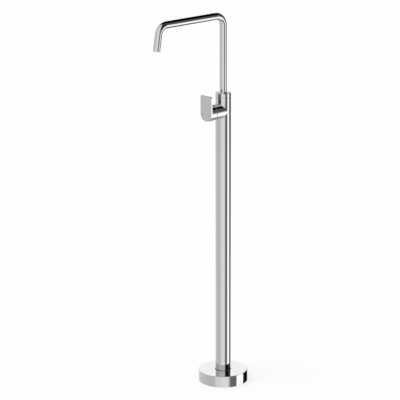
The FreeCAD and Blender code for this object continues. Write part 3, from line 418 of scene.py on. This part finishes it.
def stainless():
    """Turned stainless steel: fine tool marks and a satin polish."""
    material, tree, shader = surface("stainless_steel", Metallic=1.0)
    tone = ramp(tree, grain(tree, size=0.004), (0.3, 0.7))
    tint = blend(tree, tone, STAINLESS_DARK, STAINLESS_PALE)
    rough = ramp(tree, grain(tree, size=0.0015, detail=4.0), (0.3, 0.75), onto=(0.2, 0.38))
    lines = grain(tree, size=0.00035, detail=2.0, stretch=(0.2, 0.2, 1))
    dress(tree, shader, tint, rough, bumped(tree, lines, height=3e-6))
    return material


BRASS_DEEP = (0.78, 0.59, 0.29, 1)
BRASS_BRIGHT = (0.86, 0.68, 0.36, 1)
BRASS_TARNISH = (0.46, 0.29, 0.12, 1)


def brass():
    """Turned and sawn brass, bright where it was cut and browner where it has tarnished."""
    material, tree, shader = surface("brass", Metallic=1.0)
    tarnish = ramp(tree, grain(tree, size=0.012, detail=6.0, roughness=0.62), (0.46, 0.7))
    tone = ramp(tree, grain(tree, size=0.003), (0.3, 0.7))
    tint = blend(tree, tone, BRASS_DEEP, BRASS_BRIGHT)
    tint = stained(tree, tint, tarnish, BRASS_TARNISH, strength=0.6)
    rough = roughened(tree, ramp(tree, tone, (0.0, 1.0), onto=(0.2, 0.32)), tarnish, more=0.22)
    lines = grain(tree, size=0.0003, detail=2.0, stretch=(0.15, 0.15, 1))
    marks = bumped(tree, lines, height=3e-6)
    pits = grain(tree, size=0.0016, detail=5.0)
    dress(tree, shader, tint, rough, bumped(tree, pits, height=1.2e-5, under=marks))
    return material


RUBBER_DARK = grey(0.045)
RUBBER_BLOOM = grey(0.1)


def rubber():
    """Moulded dark grey rubber with a fine matt skin and a trace of bloom."""
    material, tree, shader = surface("seal_rubber", Specular_IOR_Level=0.35)
    bloom = ramp(tree, grain(tree, size=0.006, detail=5.0, roughness=0.6), (0.52, 0.75))
    tint = stained(tree, RUBBER_DARK, bloom, RUBBER_BLOOM, strength=0.5)
    rough = roughened(tree, 0.52, bloom, more=0.16)
    skin = grain(tree, size=0.0003, detail=4.0, roughness=0.6)
    dress(tree, shader, tint, rough, bumped(tree, skin, height=1.2e-5))
    return material


# Each hose's axis stands HOSE_SIDE to one side of the column's. So many strands wind round it each
# way, and the weave repeats along it at each pitch.
HOSE_SIDE = 0.009
BRAID_STARTS = 12
BRAID_PITCH = 0.0032
BRAID_HEIGHT = 2.5e-4
# Painted shade: the grooves between the strands are tinted dark.
BRAID_GAP_PAINTED_SHADE = grey(0.2)
BRAID_WIRE = grey(0.68, warm=0.01)
BRAID_SOIL = (0.36, 0.33, 0.29, 1)


def braid():
    """Braided stainless wire: two sets of flat strands that cross round each hose."""
    material, tree, shader = surface("braided_wire", Metallic=1.0)
    axes = axes_of(tree, place_of(tree))
    beside = calc(tree, "SUBTRACT", calc(tree, "ABSOLUTE", axes["X"]), HOSE_SIDE)
    around = calc(tree, "MULTIPLY", calc(tree, "ARCTAN2", axes["Y"], beside), BRAID_STARTS)
    along = calc(tree, "MULTIPLY", axes["Z"], 2 * math.pi / BRAID_PITCH)
    right_lay = calc(tree, "SINE", calc(tree, "ADD", around, along))
    left_lay = calc(tree, "SINE", calc(tree, "SUBTRACT", around, along))
    weave = calc(tree, "MULTIPLY", right_lay, left_lay)
    strand = ramp(tree, calc(tree, "ABSOLUTE", weave), (0.0, 0.55))
    soil = ramp(tree, grain(tree, size=0.01, detail=5.0), (0.45, 0.75))
    # The wire is tinted dark between strands as painted shade, then soiled in patches.
    tint = stained(tree, blend(tree, strand, BRAID_GAP_PAINTED_SHADE, BRAID_WIRE), soil, BRAID_SOIL, strength=0.35)
    rough = ramp(tree, strand, (0.0, 1.0), onto=(0.55, 0.28))
    dress(tree, shader, tint, rough, bumped(tree, strand, BRAID_HEIGHT))
    return material


def moulded(name, pale, dark, roughness):
    """Injection moulded plastic: slight flow marks and a spark eroded skin."""
    material, tree, shader = surface(name, IOR=1.48, Subsurface_Weight=0.04, Subsurface_Scale=0.001)
    streaks = grain(tree, size=0.009, detail=4.0, roughness=0.55, stretch=(1, 1, 0.4))
    tint = blend(tree, ramp(tree, streaks, (0.3, 0.72)), pale, dark)
    rough = ramp(tree, grain(tree, size=0.004, detail=4.0), (0.3, 0.75), onto=roughness)
    skin = grain(tree, size=0.00025, roughness=0.55)
    dress(tree, shader, tint, rough, bumped(tree, skin, height=5e-6))
    return material


def cartridge_plastic():
    pale, dark = grey(0.78, warm=0.02), grey(0.7, warm=0.03)
    return moulded("cartridge_plastic", pale, dark, roughness=(0.32, 0.46))


def bush_plastic():
    pale, dark = grey(0.58, warm=0.01), grey(0.52, warm=0.015)
    return moulded("acetal", pale, dark, roughness=(0.26, 0.4))


CERAMIC_CREAM = (0.86, 0.84, 0.79, 1)
CERAMIC_PALE = (0.9, 0.88, 0.84, 1)
CERAMIC_SPECK = grey(0.55, warm=0.03)


def ceramic():
    """Lapped alumina: dense, pale, almost polished, with a few darker grains."""
    material, tree, shader = surface("lapped_ceramic", IOR=1.76, Coat_Weight=0.15, Coat_Roughness=0.05)
    specks = ramp(tree, cells(tree, size=0.0006), (0.08, 0.16), onto=(1.0, 0.0))
    tone = ramp(tree, grain(tree, size=0.003), (0.3, 0.7))
    tint = blend(tree, tone, CERAMIC_CREAM, CERAMIC_PALE)
    tint = stained(tree, tint, specks, CERAMIC_SPECK, strength=0.3)
    rough = ramp(tree, grain(tree, size=0.0012, detail=4.0), (0.35, 0.7), onto=(0.1, 0.2))
    lapping = grain(tree, size=0.0001, detail=2.0)
    dress(tree, shader, tint, rough, bumped(tree, lapping, height=4e-7))
    return material


ENAMEL_DARK = (0.18, 0.186, 0.162, 1)
ENAMEL_PALE = (0.22, 0.226, 0.2, 1)


def enamel():
    """Fired enamel in the two small marks: a warm grey with a slightly pitted gloss."""
    material, tree, shader = surface("mark_enamel", Coat_Weight=0.2, Coat_Roughness=0.12)
    tone = ramp(tree, grain(tree, size=0.0012, detail=4.0), (0.3, 0.7))
    tint = blend(tree, tone, ENAMEL_DARK, ENAMEL_PALE)
    rough = ramp(tree, grain(tree, size=0.0008, detail=4.0), (0.3, 0.7), onto=(0.24, 0.36))
    pits = grain(tree, size=0.0005, detail=4.0)
    dress(tree, shader, tint, rough, bumped(tree, pits, height=3e-6))
    return material


MATERIALS = {
    "chrome_trim": chrome,
    "steel_plate": steel_plate,
    "fastener_steel": stainless,
    "brass_body": brass,
    "seal_rubber": rubber,
    "hose_braid": braid,
    "cartridge_plastic": cartridge_plastic,
    "ceramic_disc": ceramic,
    "bush_plastic": bush_plastic,
    "mark_enamel": enamel,
}


def paint_nodes():
    """Gives every node the material of its slot in the record."""
    made = {name: make() for name, make in MATERIALS.items()}
    for part in frame["record"]["subparts"]:
        mesh = frame["nodes"][part["node"]].data
        mesh.materials.clear()
        mesh.materials.append(made[part["material_slot"]])


bpy.context.scene.view_settings.view_transform = "Standard"
make_camera()
make_world()
make_rear_card()
make_key_light()
make_floor()
paint_nodes()
